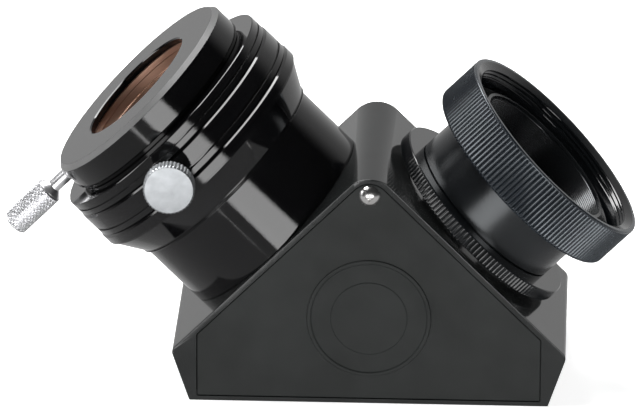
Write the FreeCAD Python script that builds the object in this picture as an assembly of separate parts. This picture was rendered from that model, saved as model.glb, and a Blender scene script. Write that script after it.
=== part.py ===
"""Mirror star diagonal: wedge housing, 2-inch holder with 1.25-inch adapter, telescope coupling ring.

Millimetres, +Z up. The origin is the centre of the flat face it rests on, straight below the middle of
the mirror. +X is towards the telescope port, -Y towards the cover. Both port axes start at the middle
of the mirror and rise at 45 degrees. A turned piece is drawn about its own Z axis, where z is the
distance from the mirror, and is then laid on its port axis.
"""
import FreeCAD, Part
import math
import os

from FreeCAD import Placement, Rotation, Vector

os.makedirs("parts", exist_ok=True)

# Driving dimensions of the housing
DEPTH = 57.0                 # front to back
MIRROR_HEIGHT = 13.2         # reflecting face above the resting face
SLOPE_DISTANCE = 34.6        # mirror centre to each slope face, along the port axis
SHOULDER_HEIGHT = 13.2       # where the side faces meet the slopes
BASE_HALF_WIDTH = 44.4
WALL = 3.0
SLOPE_WALL = 4.0
RIDGE_FRONT = (4.15, 1.05)   # half width and rise of the ridge's arc at the front
RIDGE_BACK = (5.1, 2.1)      # wider and higher at the back: casting draft
BACK_EDGE_RADIUS = 0.9
SHOULDER_RADIUS = 2.0
FLOOR_TOP = 6.0              # inside floor of the casting
CAVITY_TOP = 49.0            # solid above this, for the cover screw

# Front cover
COVER_THICKNESS = 2.5
COVER_RIM = 1.4              # casting rim beside the slopes
COVER_HALF_WIDTH = 42.6
COVER_BOTTOM = 1.2
COVER_APEX_RADIUS = 5.2
COVER_GAP = 0.12
BOSS_HEIGHT = 22.6           # centre of the round boss
BOSS_RADIUS = 15.4
BOSS_STEP = 0.35
COVER_SCREW_HEIGHT = 54.8

# Mirror and what carries it
MIRROR_SEMI_MINOR = 22.5
MIRROR_SEMI_MAJOR = 31.8
MIRROR_THICKNESS = 7.0
PAD_THICKNESS = 1.0
PLATE_THICKNESS = 2.5
PLATE_HALF = (42.2, 25.2)    # flange of the mirror plate
PEDESTAL_HALF = (36.5, 23.4)
PLATE_GAP = 0.2
PLATE_SCREW_AT = (39.4, 20.0)
CLIP_SCREW_X = 34.6
CLIP_WIDTH = 8.0

# Round fits
EYEPIECE_2IN_BORE = 25.45    # radius, for a 50.8 mm barrel
EYEPIECE_125_BORE = 15.975   # radius, for a 31.75 mm barrel
COUPLING_THREAD = 25.45      # radius of the 50.8 mm x 24 TPI thread
SCREWED_GAP = 0.05           # radial gap of every screwed or turning pair
M4 = 2.0
M3 = 1.5

# Places along the left port axis
BARREL_RADIUS = 27.5
BARREL_TOP = 52.75
SPIGOT_BOTTOM = 31.0
BARREL_THREAD_TOP = 57.3     # the male end that the holder is screwed on
HOLDER_BOTTOM = 52.8
HOLDER_TOP = 75.0
HOLDER_RADIUS = 32.6
HOLDER_SCREW_AT = 68.3
CLAMP_2IN_SPAN = (64.9, 71.7)
CLAMP_2IN_RADII = (26.0, 27.3)
CLAMP_2IN_GROOVE = 28.2
ADAPTER_BOTTOM = 47.0
ADAPTER_FLANGE_BOTTOM = 75.1
ADAPTER_TOP = 83.6
ADAPTER_RADIUS = 27.8
ADAPTER_BARREL = 25.37
ADAPTER_BEVEL = 1.25
ADAPTER_SCREW_AT = 79.0
CLAMP_125_SPAN = (76.4, 81.6)
CLAMP_125_RADII = (16.6, 17.8)
CLAMP_125_GROOVE = 18.5
CLAMP_SLIT = 4.0             # opening of each split brass ring
RING_END_GAP = 0.3           # ring to its groove's ends

# Places along the right port axis
BOSS_TOP = 36.1              # cast boss under the lock ring
BOSS_SEAT_RADIUS = 23.0
NECK_THREAD = 21.0
NECK_RADIUS = 21.8
NECK_BORE = 19.5
NECK_NOSE = (20.4, 60.2)     # radius and end of the thin nose inside the coupling ring
NECK_FLANGE = (56.2, 58.2)
NECK_FLANGE_RADIUS = 24.6
LOCK_RING_SPAN = (36.2, 39.7)
LOCK_RING_RADIUS = 27.0
COUPLING_SPAN = (51.7, 64.05)
COUPLING_RADIUS = 28.5
COUPLING_LIP = (54.2, 56.0)
COUPLING_THREAD_BOTTOM = 60.3
COUPLING_MOUTH = (1.9, 1.0)  # width and depth of the chamfer at the thread's mouth
SNAP_RING_AT = 53.5
SNAP_WIRE = 0.6

MIRROR_CENTRE = Vector(0, 0, MIRROR_HEIGHT)
APEX_SUM = MIRROR_HEIGHT + SLOPE_DISTANCE * math.sqrt(2)   # |x| + z on the slope faces
LEFT = Placement(MIRROR_CENTRE, Rotation(Vector(0, 1, 0), -45))
RIGHT = Placement(MIRROR_CENTRE, Rotation(Vector(0, 1, 0), 45))


def save(shape, node):
    """Write one node, and stop if it is not made of closed valid solids."""
    solids = shape.Solids
    if not solids or not shape.isValid() or any(s.Volume <= 0 for s in solids):
        raise RuntimeError("bad shape: " + node)
    if len(solids) == 1:
        shape = solids[0]
    shape.exportStep("parts/%s.step" % node)
    print("%-20s solids %d  volume %.0f mm3" % (node, len(solids), shape.Volume))


def turned(points, angle=360.0):
    """Solid of revolution about Z from (radius, z) points."""
    outline = [Vector(r, 0, z) for r, z in points]
    face = Part.Face(Part.makePolygon(outline + outline[:1]))
    return face.revolve(Vector(0, 0, 0), Vector(0, 0, 1), angle)


def on_port(shape, port):
    """Lay a piece drawn about Z on a port axis."""
    placed = shape.copy()
    placed.Placement = port.multiply(placed.Placement)
    return placed


def along_y(points, y_front, y_back):
    """Prism with an (x, z) outline, from y_front to y_back."""
    outline = [Vector(x, y_front, z) for x, z in points]
    face = Part.Face(Part.makePolygon(outline + outline[:1]))
    return face.extrude(Vector(0, y_back - y_front, 0))


def box(low, high):
    size = [b - a for a, b in zip(low, high)]
    return Part.makeBox(*size, Vector(*low))


def rounded_box(low, high, radius):
    """Box with rounded upright edges."""
    block = box(low, high)
    upright = [e for e in block.Edges if abs(e.tangentAt(e.FirstParameter).z) > 0.9]
    return block.makeFillet(radius, upright)


def edges_where(shape, test):
    """Edges whose middle point passes the test."""
    found = []
    for edge in shape.Edges:
        middle = edge.valueAt((edge.FirstParameter + edge.LastParameter) / 2)
        if test(middle):
            found.append(edge)
    return found


def four_corners(x, y):
    return [(sx * x, sy * y) for sx in (-1, 1) for sy in (-1, 1)]


def cover_outline(inset):
    """Cover or recess: slopes, upright sides and the bottom edge, moved in by inset."""
    half = COVER_HALF_WIDTH - inset
    apex = APEX_SUM - (COVER_RIM + inset) * math.sqrt(2)
    bottom = COVER_BOTTOM + inset
    return [(-half, bottom), (half, bottom), (half, apex - half), (0, apex), (-half, apex - half)]


def cover_blank(inset, y_front, y_back):
    plate = along_y(cover_outline(inset), y_front, y_back)
    apex = edges_where(plate, lambda p: abs(p.x) < 1e-6 and p.z > 50 and y_front < p.y < y_back)
    return plate.makeFillet(COVER_APEX_RADIUS - inset, apex)


def above_ridge(front, back):
    """What is taken off the apex, so that a shallow arc is left between the slopes."""
    ends = []
    for y, (half, rise) in ((front, RIDGE_FRONT), (back, RIDGE_BACK)):
        left = Vector(-half, y, APEX_SUM - half)
        right = Vector(half, y, APEX_SUM - half)
        arc = Part.Arc(left, Vector(0, y, APEX_SUM - half + rise), right).toShape()
        top = [right, Vector(half + 3, y, APEX_SUM + 2), Vector(-half - 3, y, APEX_SUM + 2), left]
        ends.append(Part.Wire([arc] + Part.makePolygon(top).Edges))
    return Part.makeLoft(ends, True, True)


def housing():
    front = -DEPTH / 2
    back = DEPTH / 2
    shoulder = APEX_SUM - SHOULDER_HEIGHT
    outline = [(-BASE_HALF_WIDTH, 0), (BASE_HALF_WIDTH, 0), (shoulder, SHOULDER_HEIGHT),
               (0, APEX_SUM), (-shoulder, SHOULDER_HEIGHT)]
    shell = along_y(outline, front, back)
    shell = shell.cut(above_ridge(front, back))
    sides = edges_where(shell, lambda p: abs(abs(p.x) - shoulder) < 0.1 and abs(p.y) < 1)
    shell = shell.makeFillet(SHOULDER_RADIUS, sides)
    rim = edges_where(shell, lambda p: p.y > back - 0.01)
    shell = shell.makeFillet(BACK_EDGE_RADIUS, rim)

    # Cavity, open at the front
    inner = APEX_SUM - SLOPE_WALL * math.sqrt(2)
    side = COVER_HALF_WIDTH - 1.0
    cavity = along_y([(-side, FLOOR_TOP), (side, FLOOR_TOP), (side, inner - side),
                      (inner - CAVITY_TOP, CAVITY_TOP), (CAVITY_TOP - inner, CAVITY_TOP),
                      (-side, inner - side)], front - 1, back - WALL)
    shell = shell.cut(cavity)
    shell = shell.cut(cover_blank(0, front - 1, front + COVER_THICKNESS))

    # Window for the mirror, with a recess for the plate's flange
    flange = [v + PLATE_GAP for v in PLATE_HALF]
    window = [v + PLATE_GAP for v in PEDESTAL_HALF]
    shell = shell.cut(rounded_box((-flange[0], -flange[1], -1),
                                  (flange[0], flange[1], PLATE_THICKNESS), 3.2))
    shell = shell.cut(rounded_box((-window[0], -window[1], 0), (window[0], window[1], FLOOR_TOP + 1), 6.2))
    for x, y in four_corners(*PLATE_SCREW_AT):
        shell = shell.cut(Part.makeCylinder(1.27, 3.0, Vector(x, y, PLATE_THICKNESS)))

    # Ports: a boss under the lock ring on the right, and a threaded bore in each slope
    boss = turned([(0, SLOPE_DISTANCE - 1), (BOSS_SEAT_RADIUS, SLOPE_DISTANCE - 1),
                   (BOSS_SEAT_RADIUS, BOSS_TOP - 0.3), (BOSS_SEAT_RADIUS - 0.3, BOSS_TOP), (0, BOSS_TOP)])
    shell = shell.fuse(on_port(boss, RIGHT))
    left_bore = Part.makeCylinder(24.5 + SCREWED_GAP, 8, Vector(0, 0, SLOPE_DISTANCE - 7))
    right_bore = Part.makeCylinder(NECK_THREAD + SCREWED_GAP, 12, Vector(0, 0, SLOPE_DISTANCE - 7))
    shell = shell.cut(on_port(left_bore, LEFT)).cut(on_port(right_bore, RIGHT))

    # Threaded holes for the cover screw and for the barrel's set screw
    shell = shell.cut(Part.makeCylinder(M3 + SCREWED_GAP, 11, Vector(0, front, COVER_SCREW_HEIGHT),
                                        Vector(0, 1, 0)))
    grub = Part.makeCylinder(M3 + SCREWED_GAP, 8, Vector(0, 23, 32.5), Vector(0, 1, 0))
    return shell.cut(on_port(grub, LEFT)).removeSplitter()


def front_cover():
    front = -DEPTH / 2
    plate = cover_blank(COVER_GAP, front, front + COVER_THICKNESS)
    edge = edges_where(plate, lambda p: p.y < front + 0.01)
    plate = plate.makeChamfer(0.3, edge)
    ring = Part.makeCylinder(BOSS_RADIUS, BOSS_STEP + 0.5, Vector(0, front - BOSS_STEP, BOSS_HEIGHT),
                             Vector(0, 1, 0))
    hollow = Part.makeCylinder(BOSS_RADIUS - 1.0, BOSS_STEP, Vector(0, front - BOSS_STEP, BOSS_HEIGHT),
                               Vector(0, 1, 0))
    plate = plate.fuse(ring.cut(hollow))
    plate = plate.cut(Part.makeCylinder(1.7, 10, Vector(0, front - 2, COVER_SCREW_HEIGHT), Vector(0, 1, 0)))
    # Two hooks that reach over the lip of the casting's floor
    inside = front + COVER_THICKNESS
    lip = -PEDESTAL_HALF[1] - PLATE_GAP
    for x in (-24.0, 24.0):
        plate = plate.fuse(box((x - 4, inside - 0.5, FLOOR_TOP + 0.2), (x + 4, lip + 1.4, FLOOR_TOP + 2.2)))
        plate = plate.fuse(box((x - 4, lip + 0.3, FLOOR_TOP - 0.5), (x + 4, lip + 1.4, FLOOR_TOP + 1)))
    return plate.removeSplitter()


def pan_screw(head_radius, head_height, shank_radius, shank_length, recess):
    """Pan-head cross screw along +Z, its head below z = 0 and its shank above."""
    dome = (head_radius ** 2 + head_height ** 2) / (2 * head_height)
    ball = Part.makeSphere(dome, Vector(0, 0, dome - head_height))
    head = ball.common(Part.makeCylinder(head_radius, head_height, Vector(0, 0, -head_height)))
    screw = head.fuse(Part.makeCylinder(shank_radius, shank_length))
    depth = -head_height * 0.35
    for a, b in ((recess, 0.35), (0.35, recess)):
        screw = screw.cut(box((-a, -b, -head_height - 1), (a, b, depth)))
    return screw


def cover_screw():
    screw = pan_screw(2.6, 1.7, M3, 9.0, 1.5)
    screw.Placement = Placement(Vector(0, -DEPTH / 2, COVER_SCREW_HEIGHT), Rotation(Vector(1, 0, 0), -90))
    return screw


def mirror_plate():
    plate = rounded_box((-PLATE_HALF[0], -PLATE_HALF[1], 0),
                        (PLATE_HALF[0], PLATE_HALF[1], PLATE_THICKNESS), 3)
    top = MIRROR_HEIGHT - MIRROR_THICKNESS - PAD_THICKNESS
    plate = plate.fuse(rounded_box((-PEDESTAL_HALF[0], -PEDESTAL_HALF[1], 1),
                                   (PEDESTAL_HALF[0], PEDESTAL_HALF[1], top), 6))
    for x, y in four_corners(*PLATE_SCREW_AT):
        plate = plate.cut(Part.makeCylinder(1.4, 4, Vector(x, y, 0)))
        plate = plate.cut(Part.makeCone(2.4, 1.4, 1.0, Vector(x, y, 0)))
    for x in (-CLIP_SCREW_X, CLIP_SCREW_X):
        plate = plate.cut(Part.makeCylinder(1.03, 3.0, Vector(x, 0, top - 3.0)))
    return plate.removeSplitter()


def plate_screws():
    screws = []
    for x, y in four_corners(*PLATE_SCREW_AT):
        head = Part.makeCone(2.1, 1.2, 0.9, Vector(x, y, 0.15))
        screw = head.fuse(Part.makeCylinder(1.22, 4.6, Vector(x, y, 0.6)))
        for a, b in ((1.2, 0.3), (0.3, 1.2)):
            screw = screw.cut(box((x - a, y - b, 0), (x + a, y + b, 0.7)))
        screws.append(screw)
    return Part.makeCompound(screws)


def mirror():
    bottom = MIRROR_HEIGHT - MIRROR_THICKNESS
    ellipse = Part.Ellipse(Vector(0, 0, bottom), MIRROR_SEMI_MAJOR, MIRROR_SEMI_MINOR)
    disc = Part.Face(Part.Wire(ellipse.toShape())).extrude(Vector(0, 0, MIRROR_THICKNESS))
    return disc.makeChamfer(0.4, edges_where(disc, lambda p: p.z > MIRROR_HEIGHT - 0.01))


def mirror_pads():
    top = MIRROR_HEIGHT - MIRROR_THICKNESS
    places = [(-20.0, 0.0), (14.0, 13.0), (14.0, -13.0)]
    return Part.makeCompound([Part.makeCylinder(4.0, PAD_THICKNESS, Vector(x, y, top - PAD_THICKNESS))
                              for x, y in places])


def mirror_clips():
    """Two Z-shaped spring clips, one over each long end of the mirror."""
    foot = MIRROR_HEIGHT - MIRROR_THICKNESS - PAD_THICKNESS
    half = CLIP_WIDTH / 2
    outline = [(36.3, foot), (36.3, foot + 0.5), (32.7, foot + 0.5), (32.7, MIRROR_HEIGHT + 0.55),
               (29.4, MIRROR_HEIGHT + 0.55), (29.4, MIRROR_HEIGHT + 0.05), (32.2, MIRROR_HEIGHT + 0.05),
               (32.2, foot)]
    clips = []
    for side in (-1, 1):
        clip = along_y([(side * x, z) for x, z in outline], -half, half)
        clips.append(clip.cut(Part.makeCylinder(1.15, 2, Vector(side * CLIP_SCREW_X, 0, foot - 0.5))))
    return Part.makeCompound(clips)


def clip_screws():
    seat = MIRROR_HEIGHT - MIRROR_THICKNESS - PAD_THICKNESS + 0.5
    screws = []
    for x in (-CLIP_SCREW_X, CLIP_SCREW_X):
        screw = pan_screw(1.55, 1.1, 1.0, 3.0, 0.9)
        screw.Placement = Placement(Vector(x, 0, seat), Rotation(Vector(1, 0, 0), 180))
        screws.append(screw)
    return Part.makeCompound(screws)


def holder_barrel():
    bore = EYEPIECE_2IN_BORE
    return on_port(turned([
        (22.4, SPIGOT_BOTTOM), (24.5, SPIGOT_BOTTOM), (24.5, SLOPE_DISTANCE), (BARREL_RADIUS, SLOPE_DISTANCE),
        (BARREL_RADIUS, BARREL_TOP), (26.6, BARREL_TOP), (26.6, BARREL_THREAD_TOP), (bore, BARREL_THREAD_TOP),
        (bore, 40.0), (22.4, 40.0)]), LEFT)


def barrel_grub_screw():
    screw = Part.makeCylinder(M3, 3.4, Vector(0, 24.55, 32.5), Vector(0, 1, 0))
    socket = Part.makePolygon([Vector(0.87 * math.cos(a), 26.6, 32.5 + 0.87 * math.sin(a))
                               for a in [math.radians(60 * k) for k in range(7)]])
    return on_port(screw.cut(Part.Face(socket).extrude(Vector(0, 3, 0))), LEFT)


def radial_hole(radius, at, direction, reach):
    return Part.makeCylinder(radius, reach, Vector(0, 0, at), direction)


def eyepiece_holder():
    """Bead, taper and five bands, stepped in towards the top; 2-inch bore and ring groove inside."""
    bore = EYEPIECE_2IN_BORE
    rim = HOLDER_RADIUS
    seat = BARREL_THREAD_TOP + 0.1
    groove_low = CLAMP_2IN_SPAN[0] - RING_END_GAP
    groove_high = CLAMP_2IN_SPAN[1] + RING_END_GAP
    middle = rim - 0.25
    upper = rim - 0.5
    outer = [(27.9, HOLDER_BOTTOM), (28.2, HOLDER_BOTTOM + 0.3), (28.2, 53.7), (rim - 0.6, 60.3),
             (rim - 0.6, 60.8), (rim, 60.8), (rim, 63.2), (rim - 0.7, 63.9), (rim - 0.9, 63.9),
             (rim - 0.9, 64.1), (middle, 64.1), (middle, 65.55), (rim - 0.8, 65.55), (rim - 0.8, 66.2),
             (middle, 66.2), (middle, 70.2), (middle - 0.7, 70.9), (middle - 0.9, 70.9),
             (middle - 0.9, 71.1), (upper, 71.1), (upper, 72.5), (upper - 0.5, 72.5), (upper - 0.5, 73.0),
             (upper, 73.0), (upper, 74.8), (upper - 0.2, HOLDER_TOP)]
    inner = [(bore + 0.6, HOLDER_TOP), (bore, HOLDER_TOP - 0.6), (bore, groove_high),
             (CLAMP_2IN_GROOVE, groove_high), (CLAMP_2IN_GROOVE, groove_low), (bore, groove_low),
             (bore, seat), (26.65, seat), (26.65, HOLDER_BOTTOM)]
    body = turned(outer + inner)
    return on_port(body.cut(radial_hole(M4 + SCREWED_GAP, HOLDER_SCREW_AT, Vector(0, -1, 0), 40)), LEFT)


def split_ring(radii, span, slit_direction):
    """Brass ring with a slit, centred on the Z axis."""
    ring = turned([(radii[0], span[0]), (radii[1], span[0]), (radii[1], span[1]), (radii[0], span[1])])
    slit = box((0, -CLAMP_SLIT / 2, span[0] - 1), (radii[1] + 1, CLAMP_SLIT / 2, span[1] + 1))
    slit.rotate(Vector(0, 0, 0), Vector(0, 0, 1), slit_direction)
    return ring.cut(slit)


def thumbscrew(points, direction, at):
    """Turned screw with (radius, distance from the port axis) points, pointing out along direction."""
    screw = turned(points)
    screw.Placement = Placement(Vector(0, 0, at), Rotation(Vector(0, 0, 1), direction))
    return on_port(screw, LEFT)


def thumbscrew_2in():
    tip = CLAMP_2IN_RADII[1] + 0.05
    return thumbscrew([(0, tip), (1.4, tip), (M4, tip + 0.6), (M4, 37.6), (3.4, 38.2), (3.4, 40.9),
                       (5.9, 40.9), (6.35, 41.3), (6.35, 44.5), (5.95, 44.9), (0, 44.9)],
                      Vector(0, -1, 0), HOLDER_SCREW_AT)


def adapter_body():
    bore = EYEPIECE_125_BORE
    groove_low = CLAMP_125_SPAN[0] - RING_END_GAP
    groove_high = CLAMP_125_SPAN[1] + RING_END_GAP
    seat = ADAPTER_FLANGE_BOTTOM
    outer = [(ADAPTER_BARREL - 0.6, ADAPTER_BOTTOM), (ADAPTER_BARREL, ADAPTER_BOTTOM + 0.6),
             (ADAPTER_BARREL, seat), (26.9, seat), (26.9, seat + 1.0), (ADAPTER_RADIUS - 0.3, seat + 1.0),
             (ADAPTER_RADIUS, seat + 1.3), (ADAPTER_RADIUS, ADAPTER_TOP - ADAPTER_BEVEL),
             (ADAPTER_RADIUS - ADAPTER_BEVEL, ADAPTER_TOP)]
    inner = [(bore + 0.3, ADAPTER_TOP), (bore, ADAPTER_TOP - 0.3), (bore, groove_high),
             (CLAMP_125_GROOVE, groove_high), (CLAMP_125_GROOVE, groove_low), (bore, groove_low),
             (bore, 50.0), (14.6, 50.0), (14.6, ADAPTER_BOTTOM)]
    body = turned(outer + inner)
    return on_port(body.cut(radial_hole(M4 + SCREWED_GAP, ADAPTER_SCREW_AT, Vector(-1, 0, 0), 40)), LEFT)


def thumbscrew_125():
    tip = CLAMP_125_RADII[1] + 0.05
    return thumbscrew([(0, tip), (1.3, tip), (M4, tip + 0.7), (M4, 28.6), (1.7, 29.0), (1.7, 33.6),
                       (3.0, 34.9), (3.5, 35.5), (3.5, 47.5), (3.0, 48.0), (0, 48.0)],
                      Vector(-1, 0, 0), ADAPTER_SCREW_AT)


def telescope_neck():
    return on_port(turned([
        (NECK_BORE, SPIGOT_BOTTOM), (NECK_THREAD, SPIGOT_BOTTOM), (NECK_THREAD, 40.6), (NECK_RADIUS, 40.6),
        (NECK_RADIUS, SNAP_RING_AT - 0.65), (NECK_RADIUS - 0.5, SNAP_RING_AT - 0.65),
        (NECK_RADIUS - 0.5, SNAP_RING_AT + 0.65), (NECK_RADIUS, SNAP_RING_AT + 0.65),
        (NECK_RADIUS, NECK_FLANGE[0]), (NECK_FLANGE_RADIUS, NECK_FLANGE[0]),
        (NECK_FLANGE_RADIUS, NECK_FLANGE[1] - 0.4), (NECK_FLANGE_RADIUS - 0.4, NECK_FLANGE[1]),
        (NECK_NOSE[0], NECK_FLANGE[1]), NECK_NOSE, (NECK_BORE, NECK_NOSE[1])]), RIGHT)


def neck_lock_ring():
    low, high = LOCK_RING_SPAN
    bore = NECK_THREAD + SCREWED_GAP
    return on_port(turned([(bore, low), (LOCK_RING_RADIUS - 0.25, low), (LOCK_RING_RADIUS, low + 0.25),
                           (LOCK_RING_RADIUS, high - 0.25), (LOCK_RING_RADIUS - 0.25, high),
                           (bore + 0.3, high), (bore, high - 0.3)]), RIGHT)


def coupling_ring():
    low, high = COUPLING_SPAN
    lip_bore = NECK_RADIUS + 0.08
    relief = COUPLING_THREAD + 0.45
    return on_port(turned([
        (23.2, low), (COUPLING_RADIUS - 0.6, low), (COUPLING_RADIUS, low + 0.6),
        (COUPLING_RADIUS, high - 0.4), (COUPLING_RADIUS - 0.4, high),
        (COUPLING_THREAD + COUPLING_MOUTH[0], high), (COUPLING_THREAD, high - COUPLING_MOUTH[1]),
        (COUPLING_THREAD, COUPLING_THREAD_BOTTOM), (relief, COUPLING_THREAD_BOTTOM),
        (relief, COUPLING_LIP[1]), (lip_bore, COUPLING_LIP[1]), (lip_bore, COUPLING_LIP[0]),
        (23.2, COUPLING_LIP[0])]), RIGHT)


def coupling_snap_ring():
    """Round wire bent to a C, in the neck's groove."""
    section = Part.Face(Part.Wire(Part.Circle(Vector(NECK_RADIUS + 0.15, 0, SNAP_RING_AT),
                                              Vector(0, 1, 0), SNAP_WIRE).toShape()))
    return on_port(section.revolve(Vector(0, 0, 0), Vector(0, 0, 1), 325), RIGHT)


NODES = {
    "housing": housing,
    "front_cover": front_cover,
    "cover_screw": cover_screw,
    "mirror_plate": mirror_plate,
    "plate_screws": plate_screws,
    "mirror": mirror,
    "mirror_pads": mirror_pads,
    "mirror_clips": mirror_clips,
    "clip_screws": clip_screws,
    "holder_barrel": holder_barrel,
    "barrel_grub_screw": barrel_grub_screw,
    "eyepiece_holder": eyepiece_holder,
    "clamp_ring_2in": lambda: on_port(split_ring(CLAMP_2IN_RADII, CLAMP_2IN_SPAN, 60), LEFT),
    "thumbscrew_2in": thumbscrew_2in,
    "adapter_body": adapter_body,
    "clamp_ring_125": lambda: on_port(split_ring(CLAMP_125_RADII, CLAMP_125_SPAN, -60), LEFT),
    "thumbscrew_125": thumbscrew_125,
    "telescope_neck": telescope_neck,
    "neck_lock_ring": neck_lock_ring,
    "coupling_ring": coupling_ring,
    "coupling_snap_ring": coupling_snap_ring,
}

for name, make in NODES.items():
    save(make(), name)
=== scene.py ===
"""Looks of the mirror star diagonal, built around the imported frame. Metres, +Z up.

Turned pieces are drawn in a port's own frame, where z is the distance from the mirror's centre along the
port axis, in millimetres, and are then laid on that axis. What the frame holds is read from its nodes.
"""
import math

import bmesh
import bpy
from mathutils import Matrix, Vector


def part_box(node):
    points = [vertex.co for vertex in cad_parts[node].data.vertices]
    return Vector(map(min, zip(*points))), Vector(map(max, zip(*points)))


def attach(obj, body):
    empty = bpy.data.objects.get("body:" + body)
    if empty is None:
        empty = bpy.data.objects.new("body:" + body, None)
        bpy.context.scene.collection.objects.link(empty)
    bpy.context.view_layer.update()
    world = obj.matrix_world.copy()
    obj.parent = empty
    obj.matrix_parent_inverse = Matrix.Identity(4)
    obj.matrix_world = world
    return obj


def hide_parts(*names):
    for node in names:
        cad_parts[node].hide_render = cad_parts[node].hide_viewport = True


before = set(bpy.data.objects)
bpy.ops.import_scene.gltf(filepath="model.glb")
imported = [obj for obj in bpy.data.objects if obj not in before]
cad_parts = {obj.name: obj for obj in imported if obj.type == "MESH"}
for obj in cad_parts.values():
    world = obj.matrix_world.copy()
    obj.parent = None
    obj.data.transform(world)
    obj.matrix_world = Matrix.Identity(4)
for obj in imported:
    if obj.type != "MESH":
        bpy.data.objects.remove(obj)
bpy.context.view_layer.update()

MM = 0.001
ROOT = "diagonal"

MIRROR_CENTRE = Vector((0, 0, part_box("mirror")[1].z))
LEFT = Matrix.Translation(MIRROR_CENTRE) @ Matrix.Rotation(math.radians(-45), 4, "Y")
RIGHT = Matrix.Translation(MIRROR_CENTRE) @ Matrix.Rotation(math.radians(45), 4, "Y")
LEFT_AXIS = LEFT.to_3x3() @ Vector((0, 0, 1))
RIGHT_AXIS = RIGHT.to_3x3() @ Vector((0, 0, 1))
SEGMENTS = 256               # round the large turned pieces


class Span:
    """What a turned CAD node measures about its port axis, in millimetres."""

    def __init__(self, node, port):
        inverse = port.inverted()
        points = [inverse @ v.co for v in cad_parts[node].data.vertices]
        radii = [math.hypot(p.x, p.y) / MM for p in points]
        self.low = min(p.z for p in points) / MM
        self.high = max(p.z for p in points) / MM
        self.inner = min(radii)
        self.outer = max(radii)


# ---------------------------------------------------------------- mesh tools

def arc_corner(before, corner, after, radius, steps):
    """Points that round one corner of an outline."""
    corner = Vector(corner)
    a = Vector(before) - corner
    b = Vector(after) - corner
    half = a.angle(b) / 2
    if radius <= 0 or half > math.radians(88) or half < math.radians(2):
        return [tuple(corner)]
    reach = min(radius / math.tan(half), 0.49 * min(a.length, b.length))
    radius = reach * math.tan(half)
    towards = (a.normalized() + b.normalized()).normalized()
    centre = corner + towards * (radius / math.sin(half))
    first = corner + a.normalized() * reach - centre
    last = corner + b.normalized() * reach - centre
    start = math.atan2(first.y, first.x)
    turn = math.remainder(math.atan2(last.y, last.x) - start, 2 * math.pi)
    return [(centre.x + radius * math.cos(start + turn * k / steps),
             centre.y + radius * math.sin(start + turn * k / steps)) for k in range(steps + 1)]


def rounded(outline, radius, steps=4, closed=True):
    """Outline of (a, b) or (a, b, own radius) points, with its corners rounded."""
    plain = [p[:2] for p in outline]
    count = len(plain)
    points = []
    for i, p in enumerate(outline):
        if not closed and i in (0, count - 1):
            points.append(plain[i])
            continue
        own = p[2] if len(p) > 2 else radius
        points += arc_corner(plain[i - 1], plain[i], plain[(i + 1) % count], own, steps)
    return points


def bridge(bm, ring_a, ring_b):
    """Quads between two closed rings of the same count."""
    for i in range(len(ring_a)):
        j = (i + 1) % len(ring_a)
        bm.faces.new((ring_a[i], ring_a[j], ring_b[j], ring_b[i]))


def skin(bm, rings):
    """Quads between each closed ring and the next one."""
    for a, b in zip(rings, rings[1:]):
        bridge(bm, a, b)


def lathe(profile, port, closed=True, segments=SEGMENTS, angles=None, shape=None):
    """Mesh turned about the port axis from (radius, z) points.

    angles gives uneven steps round the axis, and shape(radius, z, angle) a radius of its own."""
    if angles is None:
        angles = [2 * math.pi * k / segments for k in range(segments)]
    bm = bmesh.new()
    rings = []
    for r, z in profile:
        if r < 1e-6:
            rings.append([bm.verts.new(port @ Vector((0, 0, z * MM)))])
            continue
        ring = []
        for angle in angles:
            radius = (shape(r, z, angle) if shape else r) * MM
            place = Vector((radius * math.cos(angle), radius * math.sin(angle), z * MM))
            ring.append(bm.verts.new(port @ place))
        rings.append(ring)
    pairs = list(zip(rings, rings[1:]))
    if closed:
        pairs.append((rings[-1], rings[0]))
    for a, b in pairs:
        if len(a) == 1 or len(b) == 1:
            tip, ring = (a[0], b) if len(a) == 1 else (b[0], a)
            for i in range(len(ring)):
                bm.faces.new((tip, ring[i], ring[(i + 1) % len(ring)]))
        else:
            bridge(bm, a, b)
    bmesh.ops.recalc_face_normals(bm, faces=bm.faces)
    return bm


def swept(section, port, start, end, steps):
    """Closed (radius, z) section turned through less than a full turn, with closed ends."""
    bm = bmesh.new()
    rings = []
    for k in range(steps + 1):
        angle = start + (end - start) * k / steps
        x, y = math.cos(angle), math.sin(angle)
        rings.append([bm.verts.new(port @ Vector((r * x * MM, r * y * MM, z * MM))) for r, z in section])
    skin(bm, rings)
    bm.faces.new(rings[0])
    bm.faces.new(rings[-1])
    bmesh.ops.recalc_face_normals(bm, faces=bm.faces)
    return bm


def prism(outline, place, low, high, radius=0.0):
    """Closed prism of an (x, y) outline from z low to z high, in the place's own frame."""
    points = rounded(outline, radius, 6) if radius else outline
    bm = bmesh.new()
    rings = [[bm.verts.new(place @ Vector((x * MM, y * MM, z * MM))) for x, y in points]
             for z in (low, high)]
    bridge(bm, *rings)
    bm.faces.new(rings[0])
    bm.faces.new(rings[1])
    bmesh.ops.recalc_face_normals(bm, faces=bm.faces)
    return bm


def rectangle(half_x, half_y):
    return [(-half_x, -half_y), (half_x, -half_y), (half_x, half_y), (-half_x, half_y)]


def linked(name, bm):
    mesh = bpy.data.meshes.new(name)
    bm.to_mesh(mesh)
    bm.free()
    obj = bpy.data.objects.new(name, mesh)
    bpy.context.scene.collection.objects.link(obj)
    return obj


def dress(obj, material):
    """Give the object this material and no other."""
    obj.data.materials.clear()
    obj.data.materials.append(material)


def dress_where(obj, port, material, test):
    """Second material for the faces whose radius and z in the port's frame pass the test."""
    obj.data.materials.append(material)
    inverse = port.inverted()
    for face in obj.data.polygons:
        middle = inverse @ face.center / MM
        if test(math.hypot(middle.x, middle.y), middle.z):
            face.material_index = 1


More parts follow.
